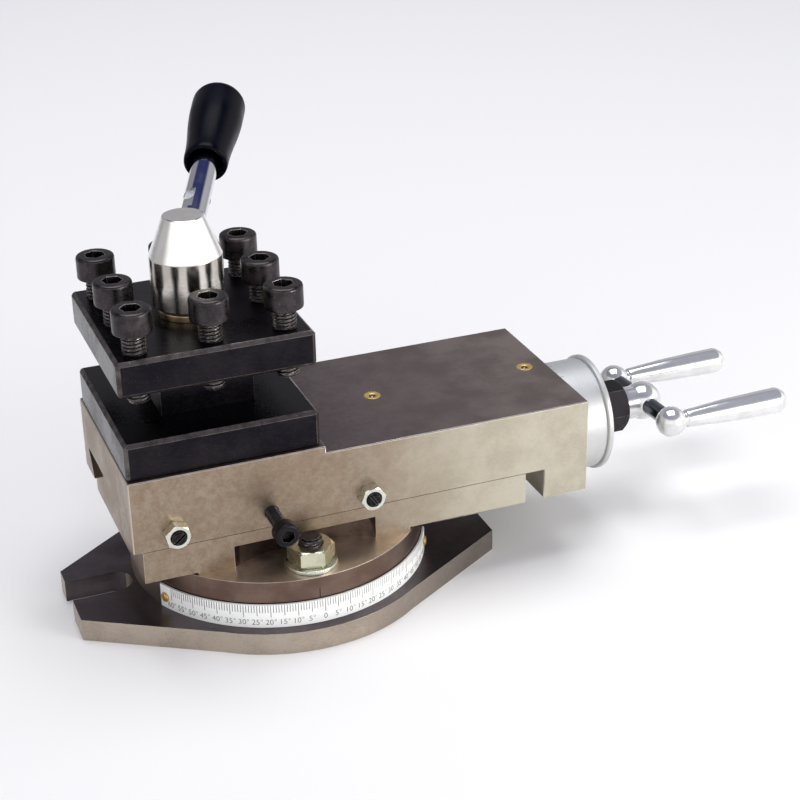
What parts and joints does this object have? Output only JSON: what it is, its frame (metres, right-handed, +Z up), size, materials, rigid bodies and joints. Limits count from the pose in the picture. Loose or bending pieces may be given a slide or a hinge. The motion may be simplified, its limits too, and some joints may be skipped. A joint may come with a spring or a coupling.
{
  "type": "lathe compound rest",
  "caption": "Small lathe compound rest: swivel base, dovetail slide moved by a ball crank, and a four-way tool post clamped by a lever.",
  "frame": {"origin": "on the swivel axis, in the plane of the base's underside", "axes": "+X along the slide towards the crank, -Y towards the side with the gib screws, +Z up"},
  "size_m": [0.2705, 0.1384, 0.1594],
  "materials": {
    "base_iron": "machined cast iron, dark oiled top, bare machined sides",
    "scale_aluminium": "satin strip with black printed degree lines",
    "brass": "plain brass",
    "lower_slide_steel": "ground sides, milled disc",
    "top_slide_steel": "ground sides, darker ground top",
    "ground_steel": "ground",
    "black_steel": "black oxide",
    "screw_black": "black oxide socket screws",
    "post_black": "black oxide, worn edges",
    "zinc_steel": "bright zinc plate",
    "bronze": "machined bronze",
    "polished_steel": "polished steel, fine turning lines",
    "dial_aluminium": "satin aluminium",
    "arm_steel": "dark turned steel",
    "chrome": "bright chrome plate",
    "grip_plastic": "glossy black"
  },
  "bodies": {
    "base": {"swivel_base": "base_iron", "degree_scale": "scale_aluminium", "scale_screws": "brass"},
    "lower_slide": {"swivel_slide": "lower_slide_steel", "t_bolts": "black_steel", "t_bolt_washers": "zinc_steel", "leadscrew_nut": "bronze", "nut_screws": "black_steel"},
    "front_nut": {"front_clamp_nut": "zinc_steel"},
    "rear_nut": {"rear_clamp_nut": "zinc_steel"},
    "upper_slide": {"top_slide": "top_slide_steel", "gib_strip": "ground_steel", "gib_screws": "black_steel", "gib_locknuts": "zinc_steel", "oiler_cups": "brass", "oiler_balls": "ground_steel", "bearing_bush": "bronze", "post_stud": "ground_steel", "index_ball": "ground_steel", "index_spring": "ground_steel"},
    "slide_lock": {"lock_screw": "black_steel"},
    "crank": {"leadscrew": "ground_steel", "dial_hub": "ground_steel", "dial_spring": "ground_steel", "drive_nut": "black_steel", "crank_ball": "chrome", "crank_arms": "arm_steel", "crank_end_balls": "chrome", "crank_grips": "chrome"},
    "dial": {"dial_ring": "dial_aluminium"},
    "turret": {"tool_post": "post_black", "hub_washer": "brass"},
    "clamp": {"clamp_hub": "polished_steel", "lever_rod": "chrome", "lever_grip": "grip_plastic"},
    "screw_1": {"tool_screw_1": "screw_black"},
    "screw_2": {"tool_screw_2": "screw_black"},
    "screw_3": {"tool_screw_3": "screw_black"},
    "screw_4": {"tool_screw_4": "screw_black"},
    "screw_5": {"tool_screw_5": "screw_black"},
    "screw_6": {"tool_screw_6": "screw_black"},
    "screw_7": {"tool_screw_7": "screw_black"},
    "screw_8": {"tool_screw_8": "screw_black"}
  },
  "joints": [
    {"name": "swivel", "type": "hinge", "parent": "base", "child": "lower_slide", "pos_m": [0, 0, 0.017], "axis": [0, 0, 1], "range_deg": [-60, 60]},
    {"name": "front_nut_turn", "type": "hinge", "parent": "lower_slide", "child": "front_nut", "pos_m": [-0.00073, -0.04199, 0.03], "axis": [0, 0, 1], "range_deg": [0, 360]},
    {"name": "rear_nut_turn", "type": "hinge", "parent": "lower_slide", "child": "rear_nut", "pos_m": [0.00073, 0.04199, 0.03], "axis": [0, 0, 1], "range_deg": [0, 360]},
    {"name": "top_slide_travel", "type": "slide", "parent": "lower_slide", "child": "upper_slide", "axis": [1, 0, 0], "range_m": [-0.006, 0.056]},
    {"name": "leadscrew_turn", "type": "hinge", "parent": "upper_slide", "child": "crank", "pos_m": [0.1, 0, 0.038], "axis": [1, 0, 0], "range_deg": [-2160, 20160]},
    {"name": "dial_zero", "type": "hinge", "parent": "crank", "child": "dial", "pos_m": [0.115, 0, 0.038], "axis": [1, 0, 0], "continuous": true},
    {"name": "slide_lock_travel", "type": "slide", "parent": "upper_slide", "child": "slide_lock", "axis": [0, -1, 0], "range_m": [0, 0.006]},
    {"name": "turret_index", "type": "hinge", "parent": "upper_slide", "child": "turret", "pos_m": [-0.0256, 0, 0.08], "axis": [0, 0, 1], "continuous": true},
    {"name": "clamp_lever_turn", "type": "hinge", "parent": "upper_slide", "child": "clamp", "pos_m": [-0.0256, 0, 0.12], "axis": [0, 0, 1], "range_deg": [-30, 90]},
    {"name": "tool_screw_1_travel", "type": "slide", "parent": "turret", "child": "screw_1", "axis": [0, 0, 1], "range_m": [-0.0065, 0.005]},
    {"name": "tool_screw_2_travel", "type": "slide", "parent": "turret", "child": "screw_2", "axis": [0, 0, 1], "range_m": [-0.0065, 0.005]},
    {"name": "tool_screw_3_travel", "type": "slide", "parent": "turret", "child": "screw_3", "axis": [0, 0, 1], "range_m": [-0.0065, 0.005]},
    {"name": "tool_screw_4_travel", "type": "slide", "parent": "turret", "child": "screw_4", "axis": [0, 0, 1], "range_m": [-0.0065, 0.005]},
    {"name": "tool_screw_5_travel", "type": "slide", "parent": "turret", "child": "screw_5", "axis": [0, 0, 1], "range_m": [-0.0065, 0.005]},
    {"name": "tool_screw_6_travel", "type": "slide", "parent": "turret", "child": "screw_6", "axis": [0, 0, 1], "range_m": [-0.0065, 0.005]},
    {"name": "tool_screw_7_travel", "type": "slide", "parent": "turret", "child": "screw_7", "axis": [0, 0, 1], "range_m": [-0.0065, 0.005]},
    {"name": "tool_screw_8_travel", "type": "slide", "parent": "turret", "child": "screw_8", "axis": [0, 0, 1], "range_m": [-0.0065, 0.005]}
  ],
  "couplings": [
    {"joint": "leadscrew_turn", "follows": "top_slide_travel", "rad_per_m": 6283.2}
  ]
}
